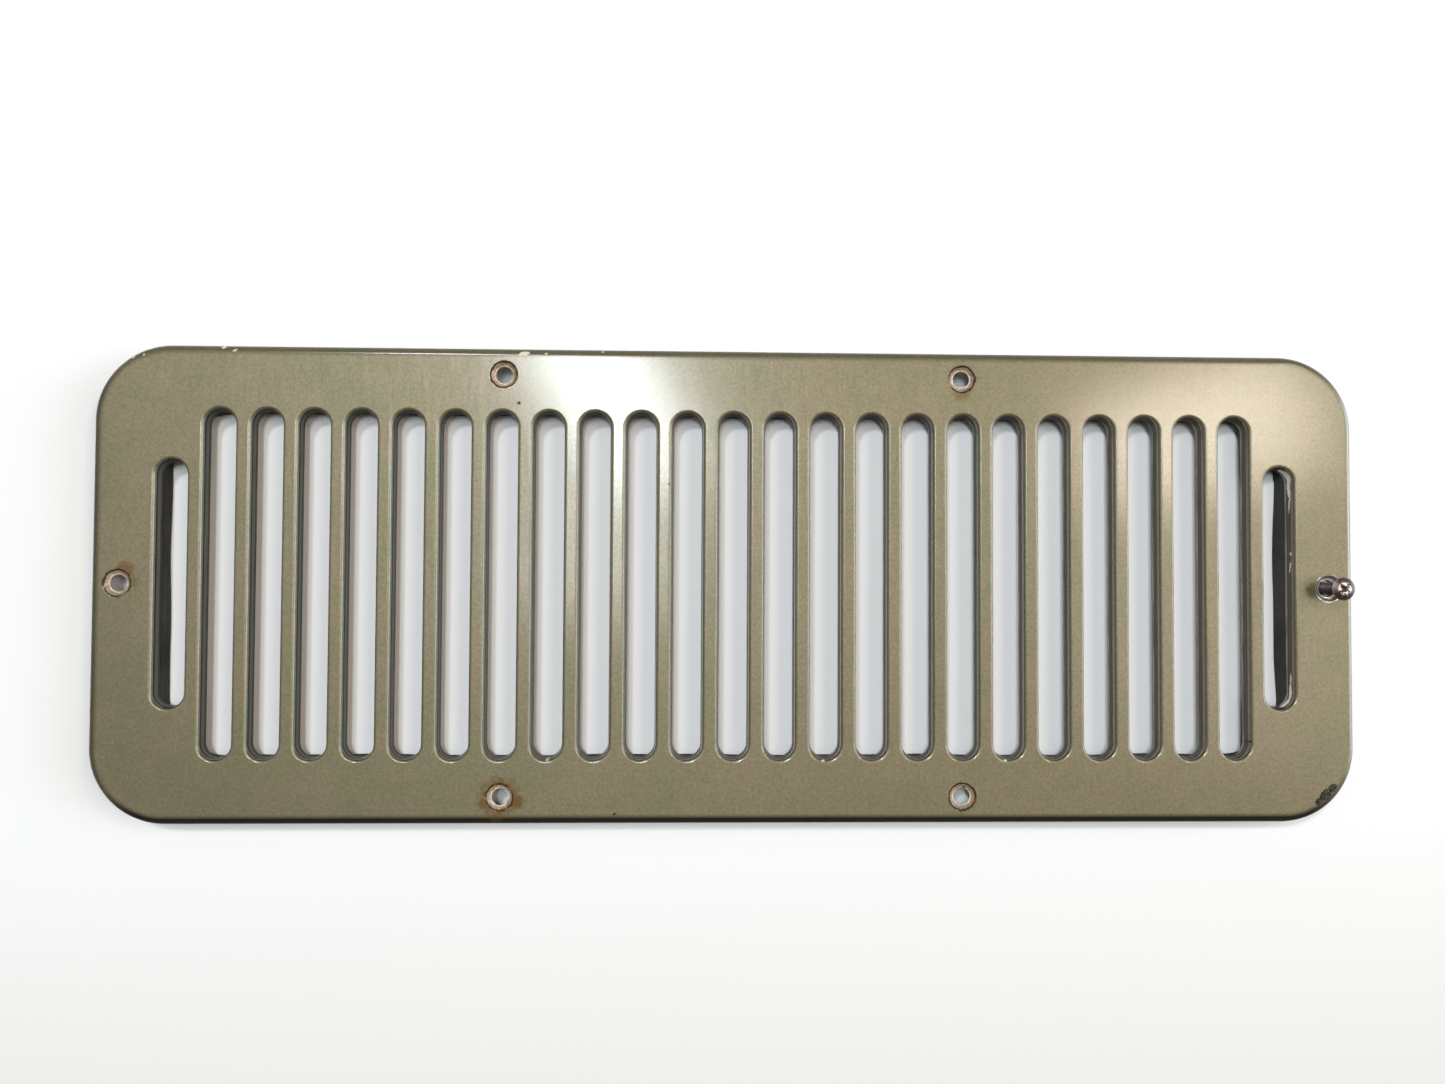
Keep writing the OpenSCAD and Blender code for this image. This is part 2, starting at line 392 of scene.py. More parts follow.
def chip_mask(t, chips, at):
    """1 inside ellipses in the plane of the first two axes of at, which is ragged."""
    mask = 0.0
    for x, y, half_l, half_w, turn in chips:
        a = math.radians(turn)
        off = t.vec("SUBTRACT", at, (x, y, 0))
        u = t.vec("DOT_PRODUCT", off, (math.cos(a) / half_l, math.sin(a) / half_l, 0))
        v = t.vec("DOT_PRODUCT", off, (-math.sin(a) / half_w, math.cos(a) / half_w, 0))
        d = t.add(t.mul(u, u), t.mul(v, v))
        mask = t.most(t.span(d, 0.8, 1.2, 1, 0), mask)
    return mask


def stain_and_shadow_mask(t, uneven):
    """Soft blots round the seats, with uneven edges: stains, and a painted shadow beside the screw."""
    mask = 0.0
    for x, y, radius, strength in SEAT_STAINS_AND_SHADOW:
        far = t.vec("DISTANCE", t.mm, (x, y, FACE_Z))
        far = t.add(far, t.mul(uneven, radius))
        mask = t.most(t.span(far, radius * 1.25, radius * 0.6, 0, strength), mask)
    return mask


def slot_grime_and_shade(t, inside, nx, ny):
    """How much grime and painted shade is on the rims of the slots, and its colour, by height on the rim.
    """
    # Painted shade: the dark starts higher up on the upper ends and on the walls that look towards -X
    high = t.less(t.z, t.span(ny, -0.25, -0.8, 0, 0.8))
    high = t.add(high, t.span(nx, -0.3, -0.8, 0, 1.0))
    below_bend = t.mul(inside, t.span(high, 10.6, 10.3))
    amount = t.mul(below_bend, t.span(t.stretched((1, 0.12, 1), 0.6, 3, 0.6), 0.3, 0.7, 0.84, 0.97))
    # Grime and painted shade: black under the bend, then grey, then darker again at the foot; the upper
    # ends are dark all over as painted shade
    colour = t.mix(t.span(t.z, 9.5, 9.0), GRIME_SHADE_BLACK, WALL_GREY)
    colour = t.mix(t.span(t.z, 7.4, 6.9), colour, FOOT_GREY)
    colour = t.mix(t.span(ny, -0.35, -0.85, 0, 0.8), colour, END_SHADE_GREY)
    # Painted highlight: pale streaks low on the walls that look towards -X, for light reflected there from
    # the floor
    highlight_streak = t.span(t.stretched((1, 0.15, 1), 0.5, 3, 0.6), 0.35, 0.6, 0.35, 0.95)
    lip_highlight = t.mul(t.span(t.z, 7.0, 6.6), t.mul(t.span(nx, -0.3, -0.7), highlight_streak))
    colour = t.mix(lip_highlight, colour, LIP_HIGHLIGHT)
    # Painted shade: a dark line along the crease of the bend at the lower ends
    line = t.mul(t.span(t.z, 11.65, 11.45), t.span(t.z, 10.9, 11.15))
    line = t.mul(t.mul(line, inside), t.span(ny, 0.2, 0.5, 0, 0.8))
    return t.most(amount, line), colour


def edge_shade(t, ax, ay):
    """How much painted shade is on the turned-down edge: most at the front, none on the right."""
    corner = t.vec("MAXIMUM", t.join(t.less(ax, PANEL_L / 2 - CORNER_R),
                                     t.less(ay, PANEL_W / 2 - CORNER_R), 0), (0, 0, 0))
    to_rim = t.vec("LENGTH", corner)
    turn_x, turn_y, _ = t.split(t.vec("NORMALIZE", corner))
    turn_x = t.mul(turn_x, t.math("SIGN", t.x))
    turn_y = t.mul(turn_y, t.math("SIGN", t.y))
    side = t.most(t.span(turn_y, -0.3, -0.9, 0, 0.97), t.span(turn_x, -0.4, -0.9, 0, 0.6))
    side = t.most(side, t.span(turn_y, 0.4, 0.9, 0, 0.42))
    edge = t.mul(t.span(to_rim, CORNER_R - 4.1, CORNER_R - 2.3), t.span(t.z, 4.9, 5.1))
    return t.mul(edge, side)


def seat_masks(t, ax, ay, uneven):
    """1 in the seats, 1 in the bare right-hand seat, and the colour in all of them."""
    side = t.vec("DISTANCE", t.join(ax, ay, 0), (SEAT_X, SEAT_Y, 0))
    end = t.vec("DISTANCE", t.join(ax, t.y, 0), (SEAT_END_X, 0, 0))
    r = t.math("MINIMUM", side, end)
    worn_r = t.add(r, t.mul(uneven, 1.5))
    in_seat = t.span(worn_r, 5.85, 5.5)
    tan = t.mix(t.span(t.noise(0.09, 3, 0.6), 0.42, 0.58), RUST_TAN, RUST_WARM)
    tan = t.mix(t.span(t.noise(0.9, 3, 0.6), 0.45, 0.7, 0, 0.7), tan, RUST_DARK)
    # A dark ring all round near the top of the seat, a crack in the paint with painted shade in the fold,
    # and a paler land round the hole, a painted highlight
    ring_r = t.add(r, t.mul(uneven, 0.9))
    crack_and_shade = t.mul(t.span(ring_r, 4.8, 5.05), t.span(t.noise(0.22, 2, 0.5), 0.30, 0.42, 0.45, 1))
    tan = t.mix(crack_and_shade, tan, CRACK_AND_SHADE)
    land = t.span(t.add(r, t.mul(uneven, 1.6)), 3.95, 3.6)
    land = t.mul(land, t.span(t.noise(0.3, 2, 0.5), 0.35, 0.6, 0.2, 0.9))
    colour = t.mix(land, tan, LAND_HIGHLIGHT)
    # The right-hand seat is scored down to bright steel
    bare = t.mul(t.span(t.x, 230, 235), in_seat)
    scored = t.span(t.math("SINE", t.mul(worn_r, 3.6)), -0.1, 0.7, 0.25, 1)
    colour = t.mix(bare, colour, t.mix(scored, SCORE, BARE_STEEL))
    return in_seat, bare, colour


def paint_material():
    t = Tree("olive_paint", Coat_Roughness=0.155, Coat_IOR=1.5, Specular_IOR_Level=0.12)
    nx, ny, nz = t.split(t.normal)
    ax, ay = t.math("ABSOLUTE", t.x), t.math("ABSOLUTE", t.y)
    # Olive bronze with patches of a warmer grey, fine metallic grain, and wiped streaks
    colour = t.mix(t.span(t.noise(0.045, 4, 0.65), 0.38, 0.62), OLIVE, OLIVE_WARM)
    grain = t.ramp(t.noise(0.9, 4, 0.8), [(0.3, GRAIN_DARK), (0.7, GRAIN_PALE)])
    colour = t.mix(1.0, colour, grain, "MULTIPLY")
    rough = t.span(t.stretched((0.9, 0.09, 0.3), 1.0, 3, 0.6), 0.3, 0.7, 0.49, 0.58)
    # Back of the sheet: a duller coat of primer with thin overspray
    back = t.mul(t.span(nz, -0.3, -0.7), t.span(t.z, 11.5, 11.2))
    overspray = t.span(t.noise(0.035, 4, 0.6), 0.35, 0.65)
    colour = t.mix(back, colour, t.mix(overspray, PRIMER, PRIMER_OLIVE))
    rough = t.blend(back, rough, 0.62)
    # Grime and painted shade on the rims of the slots, and painted shade on the outer edge; inside is 1 in
    # the slotted area
    inside = t.math("MINIMUM", t.span(ay, 81, 79), t.span(ax, 236, 234))
    grime_and_shade, rim_dirt_and_shade = slot_grime_and_shade(t, inside, nx, ny)
    grime_and_shade = t.most(grime_and_shade, edge_shade(t, ax, ay))
    colour = t.mix(grime_and_shade, colour, t.mix(inside, EDGE_SHADE, rim_dirt_and_shade))
    rough = t.blend(grime_and_shade, rough, 0.7)
    # Chips and scabs, at a ragged position
    wobble = t.vec("SUBTRACT", t.noise(1.4, 3, 0.65, colour=True), (0.5, 0.5, 0.5))
    ragged = t.vec("ADD", t.mm, t.vec("SCALE", wobble, scale=1.5))
    flat = t.vec("MULTIPLY", ragged, (1, 1, 0))
    cream = chip_mask(t, CREAM_CHIPS, flat)
    dark = t.mul(chip_mask(t, DARK_CHIPS, flat), t.span(t.noise(1.7, 2, 0.6), 0.36, 0.44))
    _, rag_y, rag_z = t.split(ragged)
    scabs = chip_mask(t, RIM_SCABS, t.join(rag_y, rag_z, 0))
    scabs = t.mul(scabs, t.mul(t.span(t.x, SCAB_X - 0.5, SCAB_X + 0.5), t.span(t.z, 11.2, 11.0)))
    scabs = t.mul(scabs, inside)
    uneven = t.less(t.noise(0.45, 3, 0.6), 0.5)
    in_seat, bare, seat = seat_masks(t, ax, ay, uneven)
    stain_and_shadow = stain_and_shadow_mask(t, uneven)
    for mask, over in ((stain_and_shadow, STAIN_AND_SHADOW), (in_seat, seat), (cream, CREAM), (scabs, SCAB), (dark, DARK)):
        colour = t.mix(mask, colour, over)
    # Grime and painted shade, rust and chips have no metallic flake and no clear coat; the bare seat is
    # metal
    chipped = t.most(t.most(cream, scabs), dark)
    metal = t.blend(t.most(grime_and_shade, stain_and_shadow), 0.62, 0.1)
    metal = t.blend(t.most(chipped, t.mul(in_seat, 0.8)), metal, 0.1)
    metal = t.blend(bare, metal, 0.7)
    for mask, over in ((in_seat, 0.5), (bare, 0.28), (chipped, 0.7)):
        rough = t.blend(mask, rough, over)
    dull_grime_and_shade = t.most(t.span(inside, 0.0, 1.0, 1.0, 0.88), t.span(ny, -0.2, -0.7))
    dull_grime_and_shade = t.mul(grime_and_shade, dull_grime_and_shade)
    dull = t.most(t.most(dull_grime_and_shade, back), t.most(in_seat, chipped))
    # Relief: long waves from the pressing, orange peel, and the step down into a chip
    waves = t.bump(t.noise(0.03, 1, 0.4), 0.09)
    peel = t.bump(t.noise(0.9, 3, 0.6), 0.02, waves)
    relief = t.bump(t.add(chipped, t.mul(in_seat, uneven)), -0.08, peel)
    t.out("Base Color", colour)
    t.out("Metallic", metal)
    t.out("Roughness", rough)
    t.out("Coat Weight", t.blend(dull, 1.0, 0.04))
    t.out("Normal", relief)
    return t.mat


# ---------------------------------------------------------------- panel
def slot_half_run(k, short_k):
    """Half the straight length of slot number k, counted from the middle one."""
    return ((SHORT_SLOT_L if abs(k) == short_k else SLOT_L) - SLOT_W) / 2


def edge_section():
    path = bend([START], 180, EDGE_R, 14)
    return sheet(straight(path, EDGE_DEPTH - EDGE_R, 2), EDGE_CUT_R, 3)


def rim_section():
    draft = math.atan(RIM_DRAFT / (RIM_DEPTH - RIM_R))
    wall = (RIM_DEPTH - RIM_R + RIM_R * math.sin(draft)) / math.cos(draft)
    path = bend([START], 180 - math.degrees(draft), RIM_R, 9)
    return sheet(straight(path, wall, 3), RIM_CUT_R, 4)


def seat_section(start_r):
    """A fold down into a cone, and a hollow fold to a land that dips towards the hole."""
    path = bend([START], 90 + SEAT_CONE_TURN, SEAT_FOLD_R, 6)
    path = straight(path, SEAT_CONE_L, 2)
    path = bend(path, 90 + SEAT_LAND_DIP, SEAT_HOLLOW_R, 4, hollow=True)
    land = (start_r + path[-1][0] - HOLE_D / 2) / math.cos(math.radians(SEAT_LAND_DIP))
    return sheet(straight(path, land, 2), SEAT_CUT_R, 4)


def build_panel():
    skin = Skin()
    mid_x, mid_y = PANEL_L / 2 - CORNER_R, PANEL_W / 2 - CORNER_R
    seat_r = SEAT_D / 2 + SEAT_FOLD_R * math.tan(math.radians(SEAT_CONE_TURN / 2))
    rim_r = SLOT_W / 2 + RIM_R
    short_k = (SLOT_COUNT + 1) // 2
    tops, backs = [], []

    def form(loop, section, r0, sign=1, centre=(0, 0)):
        top, back = skin.sweep(loop, section, r0, FACE_Z, sign, centre)
        tops.append(top)
        backs.append(back)

    form(outline(mid_x, mid_y, 28, 12), edge_section(), CORNER_R - EDGE_R, -1)
    rim = rim_section()
    for k in range(-short_k, short_k + 1):
        form(outline(0, slot_half_run(k, short_k), 12, 10), rim, rim_r, 1, (k * SLOT_PITCH, 0))
    seat = seat_section(seat_r)
    spots = [(sx * SEAT_X, sy * SEAT_Y) for sx in (-1, 1) for sy in (-1, 1)]
    spots += [(s * SEAT_END_X, 0) for s in (-1, 1)]
    for spot in spots:
        form(outline(0, 0, 18), seat, seat_r, 1, spot)

    # Flat areas: one set of triangles between the outlines, used for the face and for the back
    co = np.vstack(skin.co)
    flat, under = np.concatenate(tops), np.concatenate(backs)
    edges, first = [], 0
    for top in tops:
        n = len(top)
        edges += [(first + i, first + (i + 1) % n) for i in range(n)]
        first += n
    points, _, tris, sources, _, _ = delaunay_2d_cdt(
        [Vector(co[i, :2]) for i in flat], edges, [], 0, 1e-5)
    to_flat = [s[0] for s in sources]
    for tri in tris:
        x, y = np.mean([points[i][:] for i in tri], axis=0)
        k = round(x / SLOT_PITCH)
        beyond = max(0, abs(y) - slot_half_run(k, short_k))
        in_slot = abs(k) <= short_k and math.hypot(x - k * SLOT_PITCH, beyond) < rim_r
        in_seat = any(math.dist((x, y), s) < seat_r for s in spots)
        ox, oy = max(0, abs(x) - mid_x), max(0, abs(y) - mid_y)
        outside = math.hypot(ox, oy) > CORNER_R - EDGE_R
        if in_slot or in_seat or outside:
            continue
        ids = [to_flat[i] for i in tri]
        skin.faces.append([int(flat[i]) for i in ids])
        skin.faces.append([int(under[i]) for i in ids])
    ob = skin.build("grille_panel_pressing", paint_material())
    finish_piece(ob, "grille_panel", "panel")


# ---------------------------------------------------------------- seal and tape
RUBBER_DARK, RUBBER_PALE = (0.030, 0.029, 0.029), (0.052, 0.050, 0.047)
DUST, PORE_SHADE = (0.13, 0.12, 0.11), (0.012, 0.012, 0.012)
TAPE_DARK, TAPE_PALE = (0.60, 0.55, 0.42), (0.72, 0.68, 0.56)


def seal_material():
    t = Tree("sponge_rubber", Metallic=0.0, Specular_IOR_Level=0.3)
    pores = t.cells(1.3)
    fine = t.noise(3.0, 3, 0.7)
    colour = t.mix(t.span(t.noise(0.05, 3, 0.5), 0.35, 0.65), RUBBER_DARK, RUBBER_PALE)
    colour = t.mix(t.mul(t.span(fine, 0.5, 0.75), 0.35), colour, DUST)
    # Painted shade: the pores are painted near black
    colour = t.mix(t.span(pores, 0.22, 0.05), colour, PORE_SHADE)
    t.out("Base Color", colour)
    t.out("Roughness", t.span(fine, 0.3, 0.7, 0.78, 0.95))
    t.out("Normal", t.bump(fine, 0.06, t.bump(pores, 0.16)))
    return t.mat


def tape_material():
    t = Tree("adhesive_tape", Metallic=0.0, Specular_IOR_Level=0.5)
    threads = t.stretched((1, 1, 0.2), 0.8, 2, 0.5)
    t.out("Base Color", t.mix(t.span(threads, 0.35, 0.65), TAPE_DARK, TAPE_PALE))
    t.out("Roughness", t.span(threads, 0.3, 0.7, 0.42, 0.6))
    t.out("Normal", t.bump(threads, 0.03))
    return t.mat


def ripple(s, phase):
    """Slow uneven wave, from -1 to 1, along a length s in mm."""
    return (0.5 * np.sin(s / 17.3 + phase) + 0.3 * np.sin(s / 7.1 + 2.2 * phase)
            + 0.2 * np.sin(s / 31 + 0.7 * phase))


def seal_section(w, h):
    """Points (across, height) round the strip, from its inner foot, with extra points on the sides."""
    low, high, parts = FOOT_ROUND, h - TOP_ROUND, 7
    rows = []
    # Corner: its centre, radius and start angle, and where the side after it ends
    for cx, cz, radius, start, side_end in (
        (low, low, FOOT_ROUND, 180, (w - low, 0)),
        (w - low, low, FOOT_ROUND, 270, (w, high)),
        (w - TOP_ROUND, high, TOP_ROUND, 0, None),
        (TOP_ROUND, high, TOP_ROUND, 90, (0, low)),
    ):
        rows += [row[:2] for row in corner_arc(cx, cz, radius, start, 4)]
        if side_end:
            fx, fz = rows[-1]
            tx, tz = side_end
            rows += [(fx + (tx - fx) * k / parts, fz + (tz - fz) * k / parts) for k in range(1, parts)]
    return np.array(rows)


def press_rims(x, y, height):
    """Moves points of the strip out of the rims of the slots, which stand against it."""
    half = (SLOT_COUNT + 1) / 2
    k = np.clip(np.round(x / SLOT_PITCH), -half, half)
    run = (np.where(np.abs(k) == half, SHORT_SLOT_L, SLOT_L) - SLOT_W) / 2
    dx, dy = x - k * SLOT_PITCH, np.sign(y) * np.maximum(np.abs(y) - run, 0)
    d = np.hypot(dx, dy)
    reach = (SLOT_W / 2 + RIM_R + RIM_CLEAR) * np.clip((height - 4.6) / 0.9, 0, 1) ** 0.5
    push = np.where((reach > 1) & (d < reach) & (d > 0.1), reach - d, 0)
    return x + dx / np.maximum(d, 0.1) * push, y + dy / np.maximum(d, 0.1) * push


def build_seal():
    w, h = SEAL_STRIP, FACE_Z - SHEET_T - TAPE_T
    loop = outline(SEAL_L / 2 - SEAL_R, SEAL_W / 2 - SEAL_R, 20, 1.5)
    sec = seal_section(w, h)
    inner_edge = loop[:, :2] + loop[:, 2:] * SEAL_R
    s = np.concatenate([[0], np.cumsum(np.linalg.norm(np.diff(inner_edge, axis=0), axis=1))])
    across, height = sec[:, 0][None], sec[:, 1][None]
    # The foot spreads a little where it stands on the floor, unevenly along the strip, and most at
    # the right-hand end
    foot = np.clip(1 - height / FOOT_SPREAD_H, 0, 1) ** 1.3
    inner, outer = np.clip(1 - across / 2, 0, 1), np.clip((across - w + 2) / 2, 0, 1)
    right_end = np.exp(-(((inner_edge[:, 0] - 228) / 14) ** 2)) * np.exp(-((inner_edge[:, 1] / 46) ** 4))
    spread_in = 0.75 + 0.55 * ripple(s, 0.4) + 1.1 * right_end
    spread_out = 0.5 + 0.4 * ripple(s, 2.1)
    u = across - foot * inner * spread_in[:, None] + foot * outer * spread_out[:, None]
    # Slight waves on the sides, none at the foot and the top
    sides = np.clip(height / 2, 0, 1) * np.clip((h - height) / 1.5, 0, 1)
    u = u + 0.16 * ripple(s[:, None] * 2.3 + height * 3, 1.1) * sides
    x = inner_edge[:, :1] + loop[:, 2:3] * u
    y = inner_edge[:, 1:] + loop[:, 3:] * u
    z = np.broadcast_to(height, x.shape)
    x, y = press_rims(x, y, height)
    skin = Skin()
    rings = []
    for j, (a, b) in enumerate(sec):
        out, up = a - w / 2, (b - h / 2) * 0.75
        no = np.column_stack([loop[:, 2] * out, loop[:, 3] * out, np.full(len(loop), up)])
        rings.append(skin.ring(np.column_stack([x[:, j], y[:, j], z[:, j]]), no))
    skin.join_rings(rings + rings[:1])
    ob = skin.build("perimeter_seal_strip", seal_material(), custom=False)
    finish_piece(ob, "perimeter_seal", "panel")


def build_tape():
    low, far, high = TAPE_ROUND, TAPE_W - TAPE_ROUND, TAPE_T - TAPE_ROUND
    rows = []
    for cx, cz, start in ((low, low, 180), (far, low, 270), (far, high, 0), (low, high, 90)):
        rows += corner_arc(cx, cz, TAPE_ROUND, start, 3)
    loop = outline(SEAL_L / 2 - SEAL_R, SEAL_W / 2 - SEAL_R, 20, 6)
    skin = Skin()
    skin.sweep(loop, rows, SEAL_R + TAPE_INSET, FACE_Z - SHEET_T - TAPE_T, close=True)
    ob = skin.build("seal_tape_strip", tape_material())
    finish_piece(ob, "seal_tape", "panel")


# ---------------------------------------------------------------- fixing screw and its washer
BROWN_DARK, BROWN_PALE, ZINC = (0.055, 0.034, 0.036), (0.15, 0.105, 0.11), (0.66, 0.61, 0.52)
NYLON_DARK, NYLON_PALE = (0.62, 0.60, 0.53), (0.74, 0.72, 0.66)


def steel_material():
    t = Tree("dark_steel", Specular_IOR_Level=0.5, Coat_Weight=0.0)
    at = t.vec("SUBTRACT", t.mm, (SEAT_END_X, 0, 0))
    x, y, z = t.split(at)
    r = t.vec("LENGTH", t.join(x, y, 0))
    wear = t.noise(0.8, 4, 0.65, at)
    brown = t.mix(t.span(wear, 0.35, 0.65), BROWN_DARK, BROWN_PALE)
    head = t.span(z, 19.2, 19.6)
    # The recess is worn through to pale zinc; the rim of the head and the crests of the thread get the
    # same pale zinc as painted highlights
    in_recess = t.mul(t.span(r, 2.9, 2.3), t.span(z, 21.9, 22.3))
    pale = t.mul(in_recess, t.span(wear, 0.42, 0.52))
    crest_highlight = t.mul(t.span(r, 2.28, 2.46), t.less(1.0, head))
    rim = t.mul(t.span(r, 4.3, 4.6), head)
    wear_and_highlight = t.most(t.most(pale, t.mul(crest_highlight, 0.25)), t.mul(rim, 0.6))
    t.out("Base Color", t.mix(wear_and_highlight, brown, ZINC))
    t.out("Metallic", t.blend(wear_and_highlight, 0.75, 0.9))
    t.out("Roughness", t.blend(wear_and_highlight, t.span(wear, 0.3, 0.7, 0.34, 0.5), 0.36))
    t.out("Normal", t.bump(t.noise(2.2, 3, 0.6, at), 0.02))
    return t.mat


def nylon_material():
    t = Tree("nylon", Metallic=0.0, Specular_IOR_Level=0.5, Subsurface_Weight=0.12, Subsurface_Scale=0.001)
    mottle = t.noise(0.5, 2, 0.5)
    t.out("Base Color", t.mix(mottle, NYLON_DARK, NYLON_PALE))
    t.out("Roughness", t.span(mottle, 0.3, 0.7, 0.36, 0.5))
    t.out("Normal", t.bump(mottle, 0.02))
    return t.mat


def recess_drop(r, c, s):
    """How far the cross recess, turned by 45 degrees, lies under the head's top at radius r."""
    px, py = r * c, r * s
    u, v = (px + py) / math.sqrt(2), (px - py) / math.sqrt(2)
    arm = np.minimum(np.maximum(np.abs(u) - RECESS_REACH, np.abs(v) - RECESS_HALF_W),
                     np.maximum(np.abs(v) - RECESS_REACH, np.abs(u) - RECESS_HALF_W))
    core = np.hypot(u, v) - RECESS_CORE_R
    inside = -np.minimum(arm, core)
    # Steep walls that lean a little, and a floor that deepens to the middle
    floor = RECESS_DEPTH - 0.75 * r
    return np.clip(inside * 4.5 + 0.15, 0, np.maximum(floor, 0.35))


def build_screw():
    turns = 48
    r_out, rim_r = SCREW_D / 2, HEAD_D / 2
    head_z = SCREW_L - 0.2 - (HEAD_D - SCREW_D) / 2
    ang = np.arange(turns) * 2 * math.pi / turns
    c, s = np.cos(ang), np.sin(ang)
    skin = Skin()
    rings = []

    def ring(r, z):
        r, z = np.broadcast_to(r, ang.shape), np.broadcast_to(z, ang.shape)
        co = np.column_stack([SEAT_END_X + r * c, r * s, z])
        rings.append(skin.ring(co, np.column_stack([c, s, 0 * c])))

    # Flat tip and threaded shank; the thread starts on a cone and runs out under the head
    for r in (0.8, 1.7):
        ring(r, 0.0)
    for z in np.arange(0.0, head_z + 0.001, THREAD_STEP):
        phase = (z / THREAD_PITCH - ang / (2 * math.pi)) % 1
        tooth = 1 - np.abs(phase - 0.5) * 2
        tooth = np.clip(tooth * 1.35 - 0.15, 0, 1)
        fade = min(1, (head_z - z) / 0.7)
        ring(np.minimum(r_out - THREAD_DEPTH * (1 - tooth) * fade, TIP_R + z * TIP_SLOPE), z)
    # Countersunk underside, rim and raised top with the cross recess
    for f in (0.15, 0.5, 0.85, 0.97):
        ring(r_out + (rim_r - r_out) * f, head_z + (rim_r - r_out) * f)
    ring(rim_r, SCREW_L - 0.16)
    ring(rim_r, SCREW_L - 0.03)
    ring(rim_r - 0.07, SCREW_L + 0.02)
    top_first = skin.count
    dome = (rim_r ** 2 + HEAD_RAISE ** 2) / (2 * HEAD_RAISE)
    for r in np.concatenate([np.linspace(4.35, 2.75, 6), np.linspace(2.65, 0.12, 24)]):
        dome_z = SCREW_L + HEAD_RAISE - dome + np.sqrt(dome ** 2 - r ** 2)
        ring(r, dome_z - recess_drop(r, c, s))
    skin.join_rings(rings)
    skin.faces.append(rings[0].tolist())
    skin.faces.append(rings[-1].tolist())
    # The tip's faces look down and the top's look up
    no = np.vstack(skin.no)
    no[top_first:] = (0, 0, 1)
    no[:turns * 2] = (0, 0, -1)
    skin.no = [no]
    ob = skin.build("fixing_screw_turned", steel_material(), custom=False)
    finish_piece(ob, "fixing_screw", "screw")


def build_retainer():
    lo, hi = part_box("screw_retainer")
    e = WASHER_ROUND
    low, high = lo.z / MM + e, hi.z / MM - e
    r_in = SCREW_D / 2 + WASHER_PLAY
    near, far = r_in + e, (hi.x - lo.x) / 2 / MM - e
    count = 96
    ang = np.arange(count) * 2 * math.pi / count
    c, s = np.cos(ang), np.sin(ang)
    # Fingers grip the thread, with gaps between them
    gap = FINGER_GAP * np.clip(np.cos(ang * FINGERS) * 2.2 - 1.0, 0, 1)
    section = []
    for r, z, start in ((far, low, -90), (far, high, 0), (near, high, 90), (near, low, 180)):
        section += corner_arc(r, z, e, start, 4)
    skin = Skin()
    rings = []
    for r, z, nr, nz in section:
        rr = r + (gap if r < r_in + 1 else 0)
        co = np.column_stack([SEAT_END_X + rr * c, rr * s, np.full(count, z)])
        rings.append(skin.ring(co, np.column_stack([c * nr, s * nr, np.full(count, nz)])))
    skin.join_rings(rings + rings[:1])
    ob = skin.build("screw_retainer_washer", nylon_material())
    finish_piece(ob, "screw_retainer", "retainer")


build_panel()
build_seal()
build_tape()
build_screw()
build_retainer()

# ---------------------------------------------------------------- floor, world and lights
FLOOR_HALF = 4
FLOOR_WHITE, FLOOR_SHADED = (0.92, 0.923, 0.93), (0.80, 0.785, 0.76)
WORLD_BASE = (0.44, 0.445, 0.47, 1)
# Where the world's colour changes: axis, where the change starts and ends along it, the new colour.
# Warm and brighter towards +X, with a bright band low down there; darker towards the other sides.
WORLD_BANDS = [
    ("X", -0.02, 0.46, (0.90, 0.80, 0.64, 1)),
    ("X", 0.55, 0.72, (0.80, 0.86, 0.92, 1)),
    ("X", 0.82, 0.94, (5.2, 6.4, 7.6, 1)),
    ("X", -0.28, -0.50, (0.22, 0.225, 0.245, 1)),
    ("Y", -0.02, -0.30, (0.05, 0.038, 0.026, 1)),
    ("Y", 0.2, 0.45, (0.15, 0.14, 0.125, 1)),
]
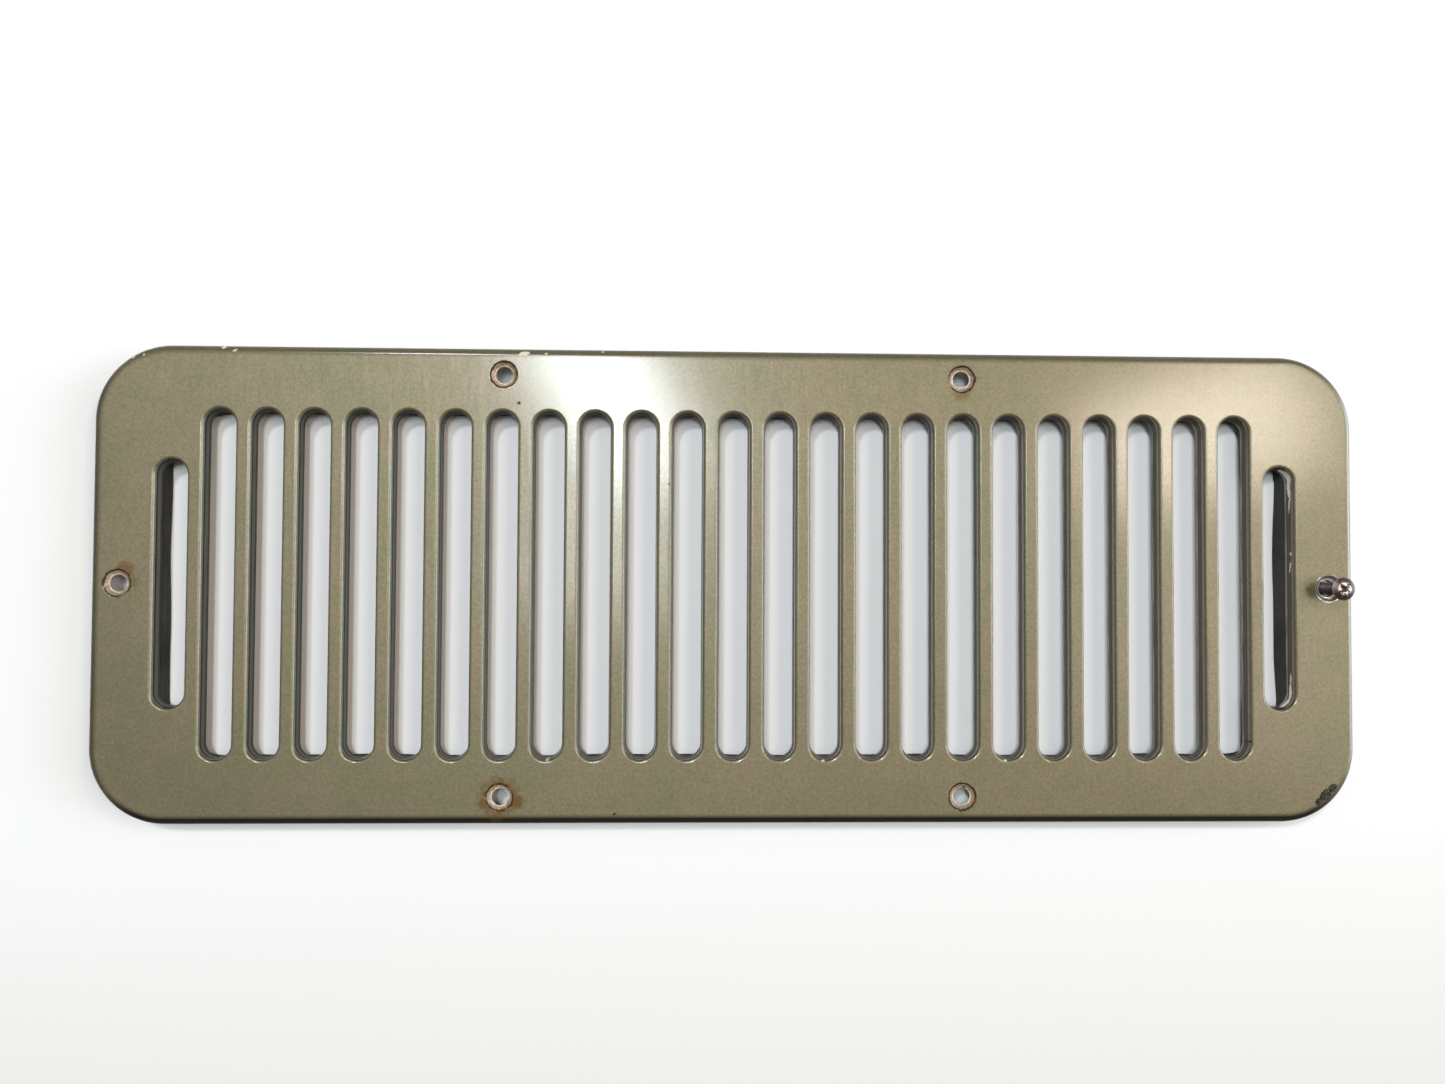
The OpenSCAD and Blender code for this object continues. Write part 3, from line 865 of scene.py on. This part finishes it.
# Area lights, all turned to the origin: name, centre and sizes in m, radiance, colour
LIGHTS = [
    ("key_glow", (-0.24, 0.49, 2.5), 0.28, 0.58, 34, (0.88, 0.96, 1.0)),
    ("key_low", (-0.25, 0.03, 2.5), 0.27, 0.42, 8, (0.96, 1.0, 1.0)),
    ("key_far", (-0.84, 1.36, 3.0), 0.36, 0.36, 86, (0.97, 0.985, 1.0)),
    ("warm_glow", (1.37, 0.39, 2.5), 0.31, 0.56, 17, (1.0, 0.88, 0.74)),
    ("warm_low", (1.40, -0.22, 2.5), 0.5, 0.8, 1.3, (1.0, 0.88, 0.74)),
    ("warm_far", (2.1, 1.3, 2.65), 0.40, 0.40, 24, (1.0, 0.80, 0.60)),
    ("side_window", (1.75, 0.1, 1.15), 1.4, 0.7, 1.9, (0.97, 0.97, 0.93)),
    ("left_window", (-1.6, 0.25, 1.15), 0.9, 0.7, 0.8, (0.97, 0.98, 1.0)),
]


def build_floor():
    me = bpy.data.meshes.new("floor")
    a = FLOOR_HALF
    me.from_pydata([(-a, -a, 0), (a, -a, 0), (a, a, 0), (-a, a, 0)], [], [(0, 1, 2, 3)])
    ob = bpy.data.objects.new("floor", me)
    scene.collection.objects.link(ob)
    t = Tree("floor_white", Metallic=0.0, Specular_IOR_Level=0.2, Roughness=0.9)
    # Painted shadow: the floor is darker and warmer towards -Y
    t.out("Base Color", t.mix(t.span(t.y, -90, -230), FLOOR_WHITE, FLOOR_SHADED))
    me.materials.append(t.mat)


def build_world():
    world = bpy.data.worlds.new("room")
    scene.world = world
    world.use_nodes = True
    nodes, links = world.node_tree.nodes, world.node_tree.links
    coord = nodes.new("ShaderNodeTexCoord")
    split = nodes.new("ShaderNodeSeparateXYZ")
    links.new(coord.outputs["Generated"], split.inputs[0])
    last = None
    for axis, lo, hi, colour in WORLD_BANDS:
        span = nodes.new("ShaderNodeMapRange")
        links.new(split.outputs[axis], span.inputs[0])
        span.inputs[1].default_value, span.inputs[2].default_value = lo, hi
        mix = nodes.new("ShaderNodeMix")
        mix.data_type = "RGBA"
        links.new(span.outputs[0], mix.inputs["Factor"])
        if last is None:
            mix.inputs[6].default_value = WORLD_BASE
        else:
            links.new(last, mix.inputs[6])
        mix.inputs[7].default_value = colour
        last = mix.outputs[2]
    links.new(last, nodes["Background"].inputs["Color"])
    nodes["Background"].inputs["Strength"].default_value = 1.0


def build_light(name, centre, size_x, size_y, radiance, colour):
    data = bpy.data.lights.new(name, "AREA")
    data.shape, data.size, data.size_y = "RECTANGLE", size_x, size_y
    data.energy = radiance * math.pi * size_x * size_y
    data.color = colour
    ob = bpy.data.objects.new(name, data)
    scene.collection.objects.link(ob)
    ob.location = centre
    ob.rotation_euler = (-Vector(centre)).to_track_quat("-Z", "Y").to_euler()


build_floor()
build_world()
for light in LIGHTS:
    build_light(*light)
